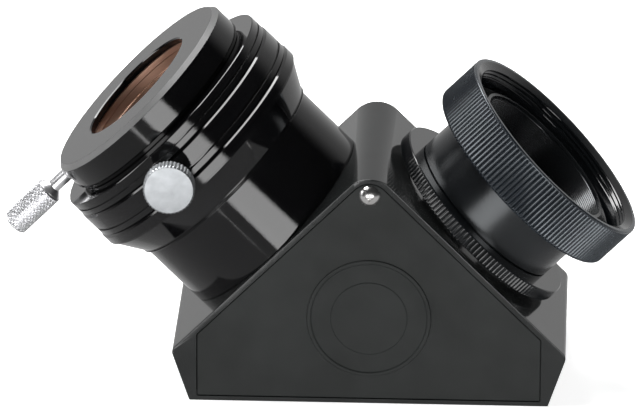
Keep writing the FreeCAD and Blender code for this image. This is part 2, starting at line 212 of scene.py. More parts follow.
def smooth(obj, sharp):
    """Smooth faces, sharp only where two meet at more than the given angle."""
    obj.data.shade_smooth()
    obj.data.set_sharp_from_angle(angle=math.radians(sharp))
    weighted = obj.modifiers.new("weighted", "WEIGHTED_NORMAL")
    weighted.keep_sharp = True


def new_object(name, bm, material, cuts=(), bevel=0.0, sharp=32.0):
    """Object with smooth shading, after the cuts of its tools and an optional bevel in millimetres."""
    obj = linked(name, bm)
    for tool in cuts:
        cut(obj, linked("tool", tool))
    dress(obj, material)
    if bevel:
        add_bevel(obj, bevel)
    smooth(obj, sharp)
    return obj


def add_bevel(obj, width):
    bevel = obj.modifiers.new("edges", "BEVEL")
    bevel.width = width * MM
    bevel.segments = 2
    bevel.limit_method = "ANGLE"
    bevel.angle_limit = math.radians(35)


def cut(obj, tool):
    """Take a tool away from obj, and remove the tool."""
    modifier = obj.modifiers.new("cut", "BOOLEAN")
    modifier.operation = "DIFFERENCE"
    modifier.solver = "EXACT"
    modifier.object = tool
    bpy.context.view_layer.update()
    evaluated = obj.evaluated_get(bpy.context.evaluated_depsgraph_get())
    mesh = bpy.data.meshes.new_from_object(evaluated)
    obj.modifiers.remove(modifier)
    old = obj.data
    obj.data = mesh
    bpy.data.meshes.remove(old)
    mesh.name = obj.name
    bpy.data.objects.remove(tool)


def cylinder_tool(place, radius, low, high, mouth=0.0, segments=64):
    """Drill along the place's z, with an optional wider mouth at its high end."""
    profile = [(0, low), (radius, low), (radius, high)]
    if mouth:
        profile = [(0, low), (radius, low), (radius, high - mouth), (radius + mouth, high),
                   (radius + mouth, high + 1)]
    return lathe(profile + [(0, profile[-1][1])], place, closed=False, segments=segments)


def across(port, direction, at):
    """Frame whose z leaves the port axis along a direction, at a distance from the mirror's centre."""
    turn = Vector(direction).to_track_quat("Z", "Y").to_matrix().to_4x4()
    return port @ Matrix.Translation((0, 0, at * MM)) @ turn


def piece(obj, body, slot, *nodes):
    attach(obj, body)
    if nodes:
        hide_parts(*nodes)
    return obj


# ---------------------------------------------------------------- materials

class Nodes:
    """Short hand for building one material's nodes."""

    def __init__(self, name, base, metallic, roughness, **sockets):
        self.material = bpy.data.materials.new(name)
        self.material.use_nodes = True
        self.tree = self.material.node_tree
        self.shader = self.tree.nodes["Principled BSDF"]
        looks = {"Base Color": (*base, 1), "Metallic": metallic, "Roughness": roughness}
        self.set(self.shader, **looks, **sockets)
        self.object = self.add("ShaderNodeTexCoord").outputs["Object"]

    def add(self, kind, **settings):
        node = self.tree.nodes.new(kind)
        for key, value in settings.items():
            setattr(node, key, value)
        return node

    def set(self, node, **values):
        for key, value in values.items():
            node.inputs[key].default_value = value

    def link(self, source, target):
        self.tree.links.new(source, target)

    def noise(self, scale, detail=3.0, rough=0.5, line=None):
        """Noise over the object, or along one value when line is given."""
        node = self.add("ShaderNodeTexNoise")
        self.set(node, Scale=scale, Detail=detail, Roughness=rough)
        if line is None:
            self.link(self.object, node.inputs["Vector"])
        else:
            node.noise_dimensions = "1D"
            self.link(line, node.inputs["W"])
        return node.outputs["Fac"]

    def ranged(self, value, low, high, out_low, out_high):
        node = self.add("ShaderNodeMapRange")
        self.set(node, **{"From Min": low, "From Max": high, "To Min": out_low, "To Max": out_high})
        self.link(value, node.inputs["Value"])
        return node.outputs["Result"]

    def along(self, axis):
        node = self.add("ShaderNodeVectorMath", operation="DOT_PRODUCT")
        node.inputs[1].default_value = tuple(axis)
        self.link(self.object, node.inputs[0])
        return node.outputs["Value"]

    def colours(self, value, low, high, dark, light):
        ramp = self.add("ShaderNodeValToRGB")
        ramp.color_ramp.elements[0].position = low
        ramp.color_ramp.elements[1].position = high
        ramp.color_ramp.elements[0].color = (*dark, 1)
        ramp.color_ramp.elements[1].color = (*light, 1)
        self.link(value, ramp.inputs["Fac"])
        self.link(ramp.outputs["Color"], self.shader.inputs["Base Color"])

    def bump(self, value, strength, distance, under=None):
        node = self.add("ShaderNodeBump")
        self.set(node, Strength=strength, Distance=distance)
        self.link(value, node.inputs["Height"])
        if under is not None:
            self.link(under, node.inputs["Normal"])
        return node.outputs["Normal"]

    def roughness(self, value):
        self.link(value, self.shader.inputs["Roughness"])

    def normal(self, value):
        self.link(value, self.shader.inputs["Normal"])


def cast_paint(name, dark, light, rough_low, rough_high, grain=0.3, shine=0.5):
    """Black paint on a die casting: fine grain, faint cloudiness."""
    m = Nodes(name, light, 0.0, rough_low, IOR=1.5)
    m.set(m.shader, **{"Specular IOR Level": shine})
    m.colours(m.noise(60.0), 0.3, 0.7, dark, light)
    m.roughness(m.ranged(m.noise(140.0, 4.0), 0.3, 0.7, rough_low, rough_high))
    m.normal(m.bump(m.noise(1300.0, 2.0), grain, 0.00004, m.bump(m.noise(5200.0, 2.0), grain, 0.00002)))
    return m.material


def turned_metal(name, axis, dark, light, rough_low, rough_high, metallic=0.0, marks=0.12, scale=9000.0,
                 shine=0.5, tint=(1.0, 1.0, 1.0)):
    """Turned finish: fine rings square to the axis, with soft smudges in the gloss."""
    m = Nodes(name, light, metallic, rough_low, IOR=1.5)
    m.set(m.shader, **{"Specular IOR Level": shine, "Specular Tint": (*tint, 1)})
    m.colours(m.noise(45.0), 0.35, 0.7, dark, light)
    m.roughness(m.ranged(m.noise(90.0, 5.0, 0.6), 0.35, 0.75, rough_low, rough_high))
    m.normal(m.bump(m.noise(scale, 2.0, line=m.along(axis)), marks, 0.00002))
    return m.material


def plated(name, rough_low, rough_high, axis, tint):
    """Plated, blackened or bare steel, with fine marks square to the axis."""
    m = Nodes(name, tint, 1.0, rough_low)
    m.colours(m.noise(500.0), 0.3, 0.7, tuple(0.86 * c for c in tint), tint)
    m.roughness(m.ranged(m.noise(900.0, 4.0), 0.3, 0.75, rough_low, rough_high))
    m.normal(m.bump(m.noise(6000.0, line=m.along(axis)), 0.1, 0.00002))
    return m.material


def mirror_glass():
    m = Nodes("mirror_coating", (0.93, 0.94, 0.95), 1.0, 0.02)
    m.roughness(m.ranged(m.noise(200.0, 4.0), 0.4, 0.8, 0.015, 0.05))
    return m.material


def soft_rubber():
    m = Nodes("pad_rubber", (0.02, 0.02, 0.02), 0.0, 0.8)
    m.colours(m.noise(900.0), 0.3, 0.7, (0.012, 0.012, 0.012), (0.03, 0.03, 0.03))
    m.normal(m.bump(m.noise(2500.0), 0.3, 0.00005))
    return m.material


PAINT = cast_paint("housing_paint", (0.010, 0.011, 0.011), (0.017, 0.018, 0.018), 0.07, 0.11, 0.10)
COVER_PAINT = cast_paint("cover_paint", (0.011, 0.0125, 0.012), (0.015, 0.017, 0.0165), 0.50, 0.62,
                         shine=0.22)
PLATE_PAINT = cast_paint("plate_paint", (0.010, 0.010, 0.010), (0.016, 0.016, 0.016), 0.55, 0.7)
GLOSS_LEFT = turned_metal("gloss_anodised", LEFT_AXIS, (0.0012, 0.0012, 0.0014), (0.003, 0.003, 0.0034),
                          0.04, 0.10)
# Lighter grey for the adapter flange's edge bevel: a painted reflection of the pale studio on the black
# anodising, with a satin roughness.
BEVEL_PAINTED_REFLECTION = turned_metal("bevel_painted_reflection", LEFT_AXIS, (0.10, 0.10, 0.10), (0.13, 0.13, 0.13), 0.45, 0.55)
SATIN_RIGHT = turned_metal("satin_anodised", RIGHT_AXIS, (0.004, 0.0045, 0.005), (0.008, 0.009, 0.010),
                           0.20, 0.28, marks=0.2, tint=(0.93, 0.97, 1.0))
KNURL_BLACK = turned_metal("knurled_anodised", RIGHT_AXIS, (0.006, 0.008, 0.011), (0.010, 0.013, 0.017),
                           0.22, 0.30, marks=0.15, shine=1.0, tint=(0.88, 0.95, 1.0))
GLOSS_RIGHT = turned_metal("gloss_ring", RIGHT_AXIS, (0.003, 0.0035, 0.004), (0.006, 0.007, 0.008),
                           0.10, 0.16)
BRASS = turned_metal("turned_brass", LEFT_AXIS, (0.82, 0.53, 0.40), (1.0, 0.74, 0.60), 0.52, 0.70,
                     metallic=1.0, marks=0.35, scale=5000.0)
CHROME = plated("chrome_plate", 0.20, 0.30, (0, 1, 0), (0.86, 0.85, 0.84))
CHROME_SATIN = plated("chrome_disc", 0.40, 0.50, (1, 0, 0), (0.42, 0.435, 0.45))
CHROME_KNURL = plated("chrome_knurl", 0.30, 0.40, (1, 0, 0), (0.95, 0.95, 0.97))
BLACK_STEEL = plated("blackened_steel", 0.3, 0.45, (0, 0, 1), (0.05, 0.05, 0.05))
SPRING_STEEL = plated("spring_steel", 0.22, 0.35, (0, 1, 0), (0.5, 0.5, 0.5))
GLASS = mirror_glass()
RUBBER = soft_rubber()


# ---------------------------------------------------------------- housing and cover

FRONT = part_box("housing")[0].y / MM
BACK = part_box("housing")[1].y / MM
BARREL_SCREWED_IN = 3.6      # length of the barrel's foot inside the casting
SLOPE = Span("holder_barrel", LEFT).low + BARREL_SCREWED_IN     # mirror's centre to the slopes
APEX_SUM = MIRROR_CENTRE.z / MM + SLOPE * math.sqrt(2)          # |x| + z on the slopes
APEX = 3                     # the apex among a wedge's five corners
BASE_HALF = 44.4
SHOULDER_Z = 13.2
SHOULDER_ROUND = 2.0
LOW_ROUND = 0.3
RIDGE_FRONT = (4.15, 1.05)   # half width and rise of the ridge's arc
RIDGE_BACK = (5.1, 2.1)
RIDGE_INSET = (0.55, 0.136)  # what one millimetre of inset takes off both
BACK_ROUND = 0.9
FRONT_ROUND = 0.25
COVER_APEX_ROUND = 5.2
RIM = 1.4                    # casting rim beside the cover
COVER_HALF = 42.6
COVER_BOTTOM = 1.2
COVER_DEPTH = 2.5
COVER_GAP = 0.12
COVER_ROUND = 0.35
CAVITY_HALF = 41.6
FLOOR_TOP = 6.0
WALL = 3.0
SLOPE_WALL = 4.0
SIDE_STEPS = 6
APEX_STEPS = 28
LEFT_PORT = 24.55            # radii of the screwed ports
RIGHT_PORT = 21.05
PORT_DRILL = (SLOPE - 7, SLOPE + 2)
SET_SCREW_AT = 32.5
SMALL_SCREW_HOLE = 1.55
COVER_SCREW_Z = (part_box("cover_screw")[0].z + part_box("cover_screw")[1].z) / 2 / MM
SEAT_RADIUS = 23.0           # cast seat under the lock ring
HOOK_AT = 24.0
HOOK_HALF = 4.0
BOSS_Z = 22.6
BOSS_RADIUS = 15.4
BOSS_STEP = -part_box("front_cover")[0].y / MM + FRONT

COVER_FACE = Matrix.Translation((0, FRONT * MM, 0)) @ Matrix.Rotation(math.radians(90), 4, "X")
COVER_SCREW_PLACE = COVER_FACE @ Matrix.Translation((0, COVER_SCREW_Z * MM, 0))


def inset_polygon(points, inset):
    """Convex outline, listed anticlockwise, with every side moved inwards."""
    moved = []
    count = len(points)
    for i in range(count):
        lines = []
        for a, b in ((points[i - 1], points[i]), (points[i], points[(i + 1) % count])):
            along = (Vector(b) - Vector(a)).normalized()
            lines.append((Vector(a) + Vector((-along.y, along.x)) * inset, along))
        (p, u), (q, v) = lines
        t = ((q - p).x * v.y - (q - p).y * v.x) / (u.x * v.y - u.y * v.x)
        moved.append(tuple(p + u * t))
    return moved


def wedge(half, low, shoulder_x, apex):
    """Corners of the pointed outline, anticlockwise from the lower left."""
    return [(-half, low), (half, low), (shoulder_x, apex - shoulder_x), (0, apex),
            (-shoulder_x, apex - shoulder_x)]


RECESS = wedge(COVER_HALF, COVER_BOTTOM, COVER_HALF, APEX_SUM - RIM * math.sqrt(2))
RECESS_RADII = (0.5, 0.5, 0.5, COVER_APEX_ROUND, 0.5)


def ridge_arc(apex, half, rise):
    """Shallow arc over the apex, from the right slope to the left one."""
    radius = (half ** 2 + rise ** 2) / (2 * rise)
    span = math.asin(half / radius)
    centre = apex - half + rise - radius
    turns = [span * (1 - 2 * k / APEX_STEPS) for k in range(APEX_STEPS + 1)]
    return [(radius * math.sin(t), centre + radius * math.cos(t)) for t in turns]


def outline_points(corners, inset, radii, ridge=None):
    """Wedge outline moved inwards by inset, its corners rounded, the apex with the most steps."""
    moved = inset_polygon(corners, inset)
    points = []
    for i in range(len(moved)):
        if i == APEX and ridge:
            half, rise = (size - share * inset for size, share in zip(ridge, RIDGE_INSET))
            points += ridge_arc(moved[i][1], half, rise)
            continue
        radius = max(radii[i] - inset, 0.05)
        steps = APEX_STEPS if i == APEX else SIDE_STEPS
        points += arc_corner(moved[i - 1], moved[i], moved[(i + 1) % len(moved)], radius, steps)
    return points


def ring_at(bm, outline, y):
    return [bm.verts.new((x * MM, y * MM, z * MM)) for x, z in outline]


def quarter(radius, steps):
    """(inset, depth) round a quarter turn, from the flat face out to the side."""
    turns = [math.pi / 2 * k / steps for k in range(steps + 1)]
    return [(radius * (1 - math.sin(t)), radius * (1 - math.cos(t))) for t in turns]


def housing():
    """Hollow wedge, open at the front and the bottom, with a port in each slope."""
    body = wedge(BASE_HALF, 0, APEX_SUM - SHOULDER_Z, APEX_SUM)
    cavity = wedge(CAVITY_HALF, FLOOR_TOP, CAVITY_HALF, APEX_SUM - SLOPE_WALL * math.sqrt(2) - 2)
    cavity_radii = (1.5, 1.5, 1.5, 12.0, 1.5)
    lip = 0.15

    def outer(inset, ridge):
        radii = (LOW_ROUND, LOW_ROUND, SHOULDER_ROUND, 0.0, SHOULDER_ROUND)
        return outline_points(body, inset, radii, ridge)

    bm = bmesh.new()
    rings = [ring_at(bm, outer(inset, RIDGE_FRONT), FRONT + depth)
             for inset, depth in quarter(FRONT_ROUND, 4)]
    rings += [ring_at(bm, outer(inset, RIDGE_BACK), BACK - depth)
              for inset, depth in reversed(quarter(BACK_ROUND, 6))]
    skin(bm, rings)
    bm.faces.new(rings[-1])
    inner = [ring_at(bm, outline_points(RECESS, -inset, RECESS_RADII), FRONT + depth)
             for inset, depth in [(lip - a, b) for a, b in quarter(lip, 3)]]
    inner.append(ring_at(bm, outline_points(RECESS, 0, RECESS_RADII), FRONT + COVER_DEPTH))
    inner.append(ring_at(bm, outline_points(cavity, 0, cavity_radii), FRONT + COVER_DEPTH))
    inner.append(ring_at(bm, outline_points(cavity, 0, cavity_radii), BACK - WALL))
    bridge(bm, rings[0], inner[0])
    skin(bm, inner)
    bm.faces.new(inner[-1])
    bmesh.ops.recalc_face_normals(bm, faces=bm.faces)

    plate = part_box("mirror_plate")[1] / MM
    gap = 0.2
    pedestal = (36.5 + gap, 23.4 + gap)
    upright = Matrix.Identity(4)
    cuts = [prism(rectangle(plate.x + gap, plate.y + gap), upright, -1, 2.5, 3.2),
            prism(rectangle(*pedestal), upright, 0, FLOOR_TOP + 1, 6.2),
            cylinder_tool(LEFT, LEFT_PORT, *PORT_DRILL, segments=128),
            cylinder_tool(RIGHT, RIGHT_PORT, *PORT_DRILL, segments=128),
            cylinder_tool(COVER_SCREW_PLACE, SMALL_SCREW_HOLE, -11, 1),
            cylinder_tool(across(LEFT, (0, 1, 0), SET_SCREW_AT), SMALL_SCREW_HOLE, 23, 27)]
    return new_object("housing_casting", bm, PAINT, cuts)


def port_boss():
    """Cast seat under the lock ring, round the right port."""
    top = Span("neck_lock_ring", RIGHT).low - 0.1
    low = SLOPE - 1.5
    outline = [(RIGHT_PORT, low), (SEAT_RADIUS, low), (SEAT_RADIUS, top, 0.2), (RIGHT_PORT, top, 0.2)]
    profile = rounded(outline, 0.0)
    return new_object("port_boss", lathe(profile, RIGHT), PAINT)


def cover():
    """Plate let into the front rim, a small gap all round."""
    bm = bmesh.new()
    rings = [ring_at(bm, outline_points(RECESS, COVER_GAP + inset, RECESS_RADII), FRONT + depth)
             for inset, depth in quarter(COVER_ROUND, 4)]
    rings.append(ring_at(bm, outline_points(RECESS, COVER_GAP, RECESS_RADII), FRONT + COVER_DEPTH))
    skin(bm, rings)
    bm.faces.new(rings[0])
    bm.faces.new(rings[-1])
    bmesh.ops.recalc_face_normals(bm, faces=bm.faces)
    hole = cylinder_tool(COVER_SCREW_PLACE, 1.7, -4, 1)
    return new_object("cover_plate", bm, COVER_PAINT, [hole])


def cover_boss():
    """Plain raised ring round a shallow dished disc."""
    place = COVER_FACE @ Matrix.Translation((0, BOSS_Z * MM, 0))
    r = BOSS_RADIUS
    profile = [(0, -0.5), (r, -0.5), (r, 0.0), (r - 0.15, BOSS_STEP, 0.25), (r - 0.9, BOSS_STEP, 0.25),
               (r - 1.25, 0.06, 0.2), (r * 0.62, 0.06, 0.2), (r * 0.62 - 0.25, 0.24, 0.2), (0, 0.12)]
    return new_object("cover_emblem_blank", lathe(rounded(profile, 0.0, closed=False), place, closed=False),
                      COVER_PAINT)


def cover_hooks():
    """Two hooks that reach over the lip of the casting's floor."""
    inside = FRONT + COVER_DEPTH
    lip = -23.6
    outline = [(inside - 0.5, FLOOR_TOP + 0.2), (lip + 0.3, FLOOR_TOP + 0.2), (lip + 0.3, FLOOR_TOP - 0.5),
               (lip + 1.4, FLOOR_TOP - 0.5), (lip + 1.4, FLOOR_TOP + 2.2), (inside - 0.5, FLOOR_TOP + 2.2)]
    side = Matrix(((0, 0, 1, 0), (1, 0, 0, 0), (0, 1, 0, 0), (0, 0, 0, 1)))
    made = []
    for name, x in (("cover_hook_left", -HOOK_AT), ("cover_hook_right", HOOK_AT)):
        hook = prism(outline, side, x - HOOK_HALF, x + HOOK_HALF)
        made.append(new_object(name, hook, COVER_PAINT, bevel=0.12))
    return made


def cross_recess(place, reach, width, low, high):
    """Two crossed tapering slots for a pan-head screw."""
    tools = []
    for turn in (0, 90):
        spun = place @ Matrix.Rotation(math.radians(turn), 4, "Z")
        bm = prism(rectangle(reach, width), spun, low, high)
        centre = spun @ Vector((0, 0, low * MM))
        for v in bm.verts:
            local = spun.inverted() @ v.co
            if local.z / MM < (low + high) / 2:
                v.co = centre + (v.co - centre) * 0.55
        tools.append(bm)
    return tools


def cover_screw():
    low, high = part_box("cover_screw")
    radius = (high.x - low.x) / 2 / MM
    height = FRONT - low.y / MM
    place = COVER_SCREW_PLACE
    dome = (radius ** 2 + height ** 2) / (2 * height) * 1.08
    span = math.asin(min(radius * 0.97 / dome, 1))
    drop = dome - height
    profile = [(0, height)] + [(dome * math.sin(span * k / 12), dome * math.cos(span * k / 12) - drop)
                               for k in range(1, 13)]
    profile = profile + [(radius, 0.25), (radius, 0.02), (1.5, 0.02), (1.5, -9.0), (0, -9.0)]
    head = lathe([(r, min(z, height)) for r, z in profile], place, closed=False, segments=96)
    slots = cross_recess(place, 1.45, 0.36, height * 0.3, height + 1)
    return new_object("cover_screw_head", head, CHROME, slots)


# ---------------------------------------------------------------- turned detail

SAME = 1e-6                  # two radii nearer than this are one


def wave(t):
    """Triangle wave from 0 to 1 and back over one turn of t."""
    t = t % 1.0
    return 2 * t if t < 0.5 else 2 - 2 * t


def fade(z, low, high, over):
    """1 between low and high, falling to 0 over a short way at each end."""
    return max(0.0, min(1.0, (z - low) / over, (high - z) / over))


def steps_between(low, high, step):
    count = max(1, round((high - low) / step))
    return [low + (high - low) * k / count for k in range(count + 1)]


def rib_angles(count):
    """Angles of a straight knurl, closest together near the groove."""
    parts = (0.0, 0.14, 0.30, 0.50, 0.70, 0.86)
    return [2 * math.pi * (k + part) / count for k in range(count) for part in parts]


def rib_shape(count, depth, low, high, over, beyond):
    """Radius of a ring with rounded straight ribs between low and high, on radii above beyond."""
    def shape(r, z, angle):
        if r < beyond:
            return r
        part = (angle * count / (2 * math.pi)) % 1.0
        from_top = abs(part - 0.5) * 2
        return r - depth * from_top ** 2 * fade(z, low, high, over)
    return shape


def threaded(base, depth, pitch, low, high, over):
    """Right-handed thread cut in points on the base radius; a depth below 0 cuts outwards."""
    def shape(r, z, angle):
        if abs(r - base) > SAME:
            return r
        return r - depth * wave(z / pitch - angle / (2 * math.pi)) * fade(z, low, high, over)
    return shape


def both(*shapes):
    def shape(r, z, angle):
        for one in shapes:
            r = one(r, z, angle)
        return r
    return shape


# ---------------------------------------------------------------- left port

BARREL = Span("holder_barrel", LEFT)
HOLDER = Span("eyepiece_holder", LEFT)
ADAPTER = Span("adapter_body", LEFT)
RING_2IN = Span("clamp_ring_2in", LEFT)
RING_125 = Span("clamp_ring_125", LEFT)
HOLDER_SCREW_AT = (RING_2IN.low + RING_2IN.high) / 2
ADAPTER_SCREW_AT = 79.0
M4 = 2.0
M4_PITCH = 0.7
GAP = 0.05                   # between a screwed piece and its hole
BORE_2IN = 25.45
BORE_125 = 15.975
GROOVE_SLACK = 0.3           # a brass ring's groove, past the ring at each end
BARREL_SHOULDER = HOLDER.low - 0.05


def barrel():
    """Plain tube: its foot is screwed into the casting, and its top into the collar."""
    r = BARREL.outer
    light_path = 22.4
    foot = LEFT_PORT - GAP
    top = 26.6
    ledge = 40.0             # inside, where the bore narrows
    profile = rounded([
        (light_path, BARREL.low), (foot, BARREL.low), (foot, SLOPE, 0), (r, SLOPE + 0.02),
        (r, BARREL_SHOULDER), (top, BARREL_SHOULDER, 0), (top, BARREL.high), (BORE_2IN, BARREL.high),
        (BORE_2IN, ledge, 0.3), (light_path, ledge)], 0.18)
    return new_object("barrel_tube", lathe(profile, LEFT), GLOSS_LEFT)


def collar():
    """Bead, taper and bands parted by grooves, each band stepped in a little from the one below."""
    r = HOLDER.outer
    low = HOLDER.low
    top = HOLDER.high
    seat = BARREL.high + 0.1
    groove_low = RING_2IN.low - GROOVE_SLACK
    groove_high = RING_2IN.high + GROOVE_SLACK
    groove_radius = 28.2
    seat_radius = 26.65
    e = 0.05                 # round of the bands' edges
    middle = r - 0.25
    upper = r - 0.5
    outer = [(27.7, low, 0.1), (28.2, low + 0.15, 0.15), (28.25, low + 0.45, 0.1), (27.95, low + 0.5, e),
             (27.95, low + 0.6, e), (28.25, low + 0.65, 0.1), (28.25, 53.75, 0.15), (r - 0.6, 60.3, 0.5),
             (r - 0.6, 60.8, e), (r, 60.8, e), (r, 63.2, e), (r - 0.7, 63.9, e), (r - 0.9, 63.9, e),
             (r - 0.9, 64.1, e), (middle, 64.1, e), (middle, 65.55, e), (r - 0.8, 65.55, e),
             (r - 0.8, 66.2, e), (middle, 66.2, e), (middle, 70.2, e), (middle - 0.7, 70.9, e),
             (middle - 0.9, 70.9, e), (middle - 0.9, 71.1, e), (upper, 71.1, e), (upper, 72.5, e),
             (upper - 0.5, 72.5, e), (upper - 0.5, 73.0, e), (upper, 73.0, e), (upper, top - 0.22, e),
             (upper - 0.2, top, e)]
    inner = [(BORE_2IN + 0.6, top, 0.15), (BORE_2IN, top - 0.6, 0.15), (BORE_2IN, groove_high, 0.1),
             (groove_radius, groove_high, 0.2), (groove_radius, groove_low, 0.2), (BORE_2IN, groove_low, 0.1),
             (BORE_2IN, seat, 0.1), (seat_radius, seat, 0.1), (seat_radius, low, 0.1)]
    hole = cylinder_tool(across(LEFT, (0, -1, 0), HOLDER_SCREW_AT), M4 + GAP, 24, r - 0.35, mouth=0.35)
    return new_object("holder_collar", lathe(rounded(outer + inner, 0.0), LEFT), GLOSS_LEFT, [hole])


def adapter():
    """Sleeve with a wide flange, whose edge bevel is painted a lighter grey as a painted reflection."""
    r = ADAPTER.outer
    seat = HOLDER.high + 0.1
    top = ADAPTER.high
    bevel = 1.25
    groove_low = RING_125.low - GROOVE_SLACK
    groove_high = RING_125.high + GROOVE_SLACK
    groove_radius = 18.5
    barrel_r = 25.37
    neck_r = 26.9            # under the flange
    stop = 50.0              # where an eyepiece's barrel stops
    stop_radius = 14.6
    outer = [(barrel_r - 0.6, ADAPTER.low, 0.2), (barrel_r, ADAPTER.low + 0.6, 0.2), (barrel_r, seat, 0.05),
             (neck_r, seat, 0.1), (neck_r, seat + 1.0, 0.1), (r - 0.3, seat + 1.0, 0.06),
             (r, seat + 1.3, 0.06), (r, top - bevel, 0.08), (r - bevel, top, 0.08)]
    inner = [(BORE_125 + 0.3, top, 0.05), (BORE_125, top - 0.3, 0.05), (BORE_125, groove_high, 0.1),
             (groove_radius, groove_high, 0.2), (groove_radius, groove_low, 0.2), (BORE_125, groove_low, 0.1),
             (BORE_125, stop, 0.1), (stop_radius, stop, 0.2), (stop_radius, ADAPTER.low, 0.2)]
    hole = cylinder_tool(across(LEFT, (-1, 0, 0), ADAPTER_SCREW_AT), M4 + GAP, 15, r - 0.1, mouth=0.3)
    sleeve = new_object("adapter_sleeve", lathe(rounded(outer + inner, 0.0), LEFT), GLOSS_LEFT, [hole])
    edge = bevel - 0.04
    # The bevel's faces take the painted-reflection grey.
    dress_where(sleeve, LEFT, BEVEL_PAINTED_REFLECTION, lambda radius, z: z > top - edge and radius > r - edge)
    return sleeve


def clamp_ring(name, span, slit_direction):
    """Split brass ring with a shallow turned channel inside."""
    slit = 4.0
    middle = (span.low + span.high) / 2
    channel = 0.22 * (span.high - span.low)
    section = rounded([
        (span.inner, span.low, 0.25), (span.outer, span.low, 0.25), (span.outer, span.high, 0.25),
        (span.inner, span.high, 0.25), (span.inner, middle + channel, 0.1),
        (span.inner + 0.2, middle + channel - 0.2, 0.1), (span.inner + 0.2, middle - channel + 0.2, 0.1),
        (span.inner, middle - channel, 0.1)], 0.1, 3)
    half = slit / 2 / span.inner
    start = math.radians(slit_direction) + half
    return new_object(name, swept(section, LEFT, start, start + 2 * math.pi - 2 * half, 200), BRASS)


def screw_shank(tip, tip_radius, end):
    """M4 thread from a coned tip, as (radius, z) points close enough for the helix."""
    points = [(0, tip), (tip_radius, tip)]
    points += [(M4, z) for z in steps_between(tip + 0.6, end, M4_PITCH / 8)]
    return points


def shank_thread(tip, end):
    return threaded(M4, 0.32, M4_PITCH, tip + 0.5, end, 0.6)


def disc_thumbscrew():
    """Thumbscrew with a thin disc head, straight knurl on its rim."""
    place = across(LEFT, (0, -1, 0), HOLDER_SCREW_AT)
    span = Span("thumbscrew_2in", place)
    ribs = 40
    tip = span.low
    head = span.outer
    end = 37.4
    profile = screw_shank(tip, 1.4, end)
    body = [(M4, 37.6), (3.4, 38.2, 0.2), (3.4, 40.9, 0.3), (5.8, 40.9, 0.2), (head, 41.35, 0.1),
            (head, span.high - 0.45, 0.1), (head - 0.45, span.high, 0.15), (0, span.high)]
    profile += rounded(body, 0.0, 3, closed=False)
    shape = both(shank_thread(tip, end), rib_shape(ribs, 0.32, 41.1, span.high - 0.2, 0.3, 6.0))
    bm = lathe(profile, place, closed=False, angles=rib_angles(ribs), shape=shape)
    return new_object("collar_thumbscrew", bm, CHROME_SATIN)


def diamond(count, depth, low, high, radius):
    """Diamond knurl: two crossing families of V grooves."""
    pitch = 2 * math.pi * radius / count

    def shape(r, z, angle):
        if abs(r - radius) > SAME:
            return r
        turn = angle * count / (2 * math.pi)
        rise = z / pitch
        groove = max(1 - 2.2 * wave(turn + rise), 1 - 2.2 * wave(turn - rise), 0.0)
        return r - depth * groove * fade(z, low, high, 0.25)
    return shape


def long_thumbscrew():
    """Thumbscrew with a long slim head, diamond knurled."""
    place = across(LEFT, (-1, 0, 0), ADAPTER_SCREW_AT)
    span = Span("thumbscrew_125", place)
    tip = span.low
    head = span.outer
    end = 28.4
    low = 35.5
    high = span.high - 0.5
    profile = screw_shank(tip, 1.3, end)
    profile += rounded([(M4, 28.6), (1.7, 29.0, 0.1), (1.7, 33.6, 0.3), (3.0, 34.9, 0.2),
                        (head - 0.4, 35.1, 0.1), (head, 35.4)], 0.0, 3, closed=False)
    profile += [(head, z) for z in steps_between(low, high, 0.11)]
    profile += rounded([(head, high + 0.05), (head - 0.5, span.high, 0.15), (2.0, span.high, 0.1),
                        (1.85, span.high - 0.15, 0.1), (0, span.high - 0.15)], 0.0, 3, closed=False)
    shape = both(shank_thread(tip, end), diamond(18, 0.38, low, high, head))
    return new_object("adapter_thumbscrew", lathe(profile, place, closed=False, segments=192, shape=shape),
                      CHROME_KNURL, sharp=40.0)


# ---------------------------------------------------------------- right port

NECK = Span("telescope_neck", RIGHT)
LOCK = Span("neck_lock_ring", RIGHT)
COUPLING = Span("coupling_ring", RIGHT)
SNAP = Span("coupling_snap_ring", RIGHT)
SNAP_AT = (SNAP.low + SNAP.high) / 2
NECK_THREAD = 21.0
NECK_THREAD_TOP = 39.6
NECK_SHOULDER = 39.95
NECK_TUBE = 21.8
FLANGE = (NECK.high - 4.0, NECK.high - 2.0)
THREAD_PITCH = 25.4 / 24     # the 2-inch by 24 TPI telescope thread
THREAD_RADIUS = 25.45


def neck():
    """Tube with a male thread at its foot, a flange at its end and baffle grooves in its bore."""
    bore = NECK.inner
    nose = bore + 0.9
    top = NECK.high
    foot = NECK.low + 0.4
    tube = NECK_TUBE
    flange_low, flange_high = FLANGE
    outer = [(NECK_THREAD, z) for z in steps_between(foot, NECK_THREAD_TOP, 0.125)]
    outer += rounded([
        (NECK_THREAD, NECK_THREAD_TOP + 0.15), (NECK_THREAD, NECK_SHOULDER, 0.05),
        (tube, NECK_SHOULDER, 0.04), (tube, SNAP_AT - 0.65, 0.05), (tube - 0.5, SNAP_AT - 0.65, 0.1),
        (tube - 0.5, SNAP_AT + 0.65, 0.1), (tube, SNAP_AT + 0.65, 0.05), (tube, flange_low, 0.2),
        (NECK.outer, flange_low, 0.2), (NECK.outer, flange_high - 0.4, 0.1),
        (NECK.outer - 0.4, flange_high, 0.1), (nose, flange_high, 0.3), (nose, top, 0.15),
        (bore, top)], 0.0, 3, closed=False)
    bore_points = [(bore, z) for z in reversed(steps_between(foot, top - 0.4, 0.1))]
    profile = outer + bore_points + [(bore, NECK.low), (NECK_THREAD - 0.4, NECK.low)]
    thread = threaded(NECK_THREAD, 0.45, 1.0, foot, NECK_THREAD_TOP, 0.6)
    baffle = threaded(bore, -0.2, 0.5, NECK.low + 1, top - 0.6, 0.4)
    bm = lathe(profile, RIGHT, segments=192, shape=both(thread, baffle))
    return new_object("neck_tube", bm, SATIN_RIGHT)


